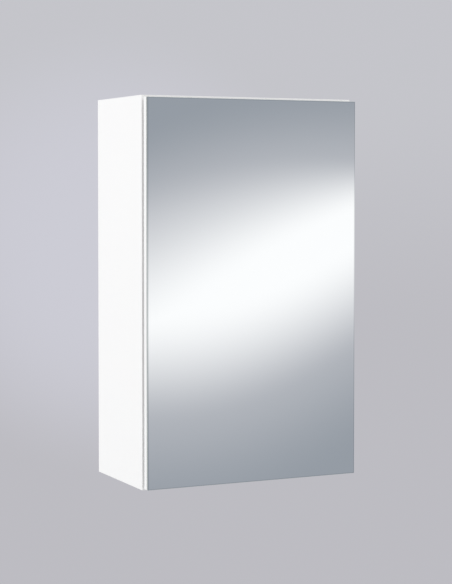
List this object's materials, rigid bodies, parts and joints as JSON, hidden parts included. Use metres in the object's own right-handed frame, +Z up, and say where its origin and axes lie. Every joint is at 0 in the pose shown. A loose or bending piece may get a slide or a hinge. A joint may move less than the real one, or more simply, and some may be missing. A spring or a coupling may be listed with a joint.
{
  "type": "bathroom mirror cabinet",
  "caption": "Slim white wall cabinet with one full-height mirrored door on concealed hinges, a push-to-open magnetic latch, loose shelves on pins and a screw-on hanging rail.",
  "frame": {"origin": "on the wall plane, midway between the two wall screw holes in the hanging rail", "axes": "+Z up, +Y into the wall, -Y the mirrored front, +X to the right seen from the front"},
  "size_m": [0.3, 0.1698, 0.5],
  "materials": {
    "white_board": "white melamine-faced board, satin",
    "white_back": "white-coated hardboard",
    "mirror": "silvered float glass with a ground edge",
    "foam_tape": "foam tape",
    "nickel_steel": "nickel-plated pressed steel",
    "zinc": "zinc plated",
    "spring_steel": "drawn wire",
    "beech": "bare fluted beech",
    "white_plastic": "moulded, fine matt",
    "grey_plastic": "moulded, satin",
    "magnet": "nickel-plated"
  },
  "bodies": {
    "carcass": {"left_side_panel": "white_board", "right_side_panel": "white_board", "top_panel": "white_board", "bottom_panel": "white_board", "back_panel": "white_back", "hanging_rail": "white_board", "lower_rail": "white_board", "upper_shelf": "white_board", "lower_shelf": "white_board", "shelf_pins": "nickel_steel", "cam_discs": "zinc", "cam_bolts": "zinc", "cam_caps": "white_plastic", "dowels": "beech", "upper_hinge_arm": "nickel_steel", "lower_hinge_arm": "nickel_steel", "upper_hinge_plate": "nickel_steel", "lower_hinge_plate": "nickel_steel", "hinge_plate_screws": "zinc", "hinge_fixing_screws": "zinc", "hinge_adjusting_screws": "zinc", "latch_housing": "white_plastic", "latch_end_cap": "white_plastic", "latch_screws": "zinc", "latch_spring": "spring_steel"},
    "door": {"door_panel": "white_board", "mirror_glass": "mirror", "mirror_tape": "foam_tape", "upper_hinge_cup": "nickel_steel", "lower_hinge_cup": "nickel_steel", "hinge_pins": "spring_steel", "hinge_cup_screws": "zinc", "strike_plate": "zinc", "strike_screws": "zinc"},
    "plunger": {"latch_plunger": "grey_plastic", "latch_magnet": "magnet"}
  },
  "joints": [
    {"name": "door_swing", "type": "hinge", "parent": "carcass", "child": "door", "pos_m": [0.142, -0.162, 0], "axis": [0, 0, 1], "range_deg": [0, 95]},
    {"name": "plunger_slide", "type": "slide", "parent": "carcass", "child": "plunger", "axis": [0, -1, 0], "range_m": [0, 0.012], "deforming": ["latch_spring"]}
  ],
  "couplings": [
    {"joint": "plunger_slide", "follows": "door_swing", "m_per_rad": 0.007237}
  ]
}
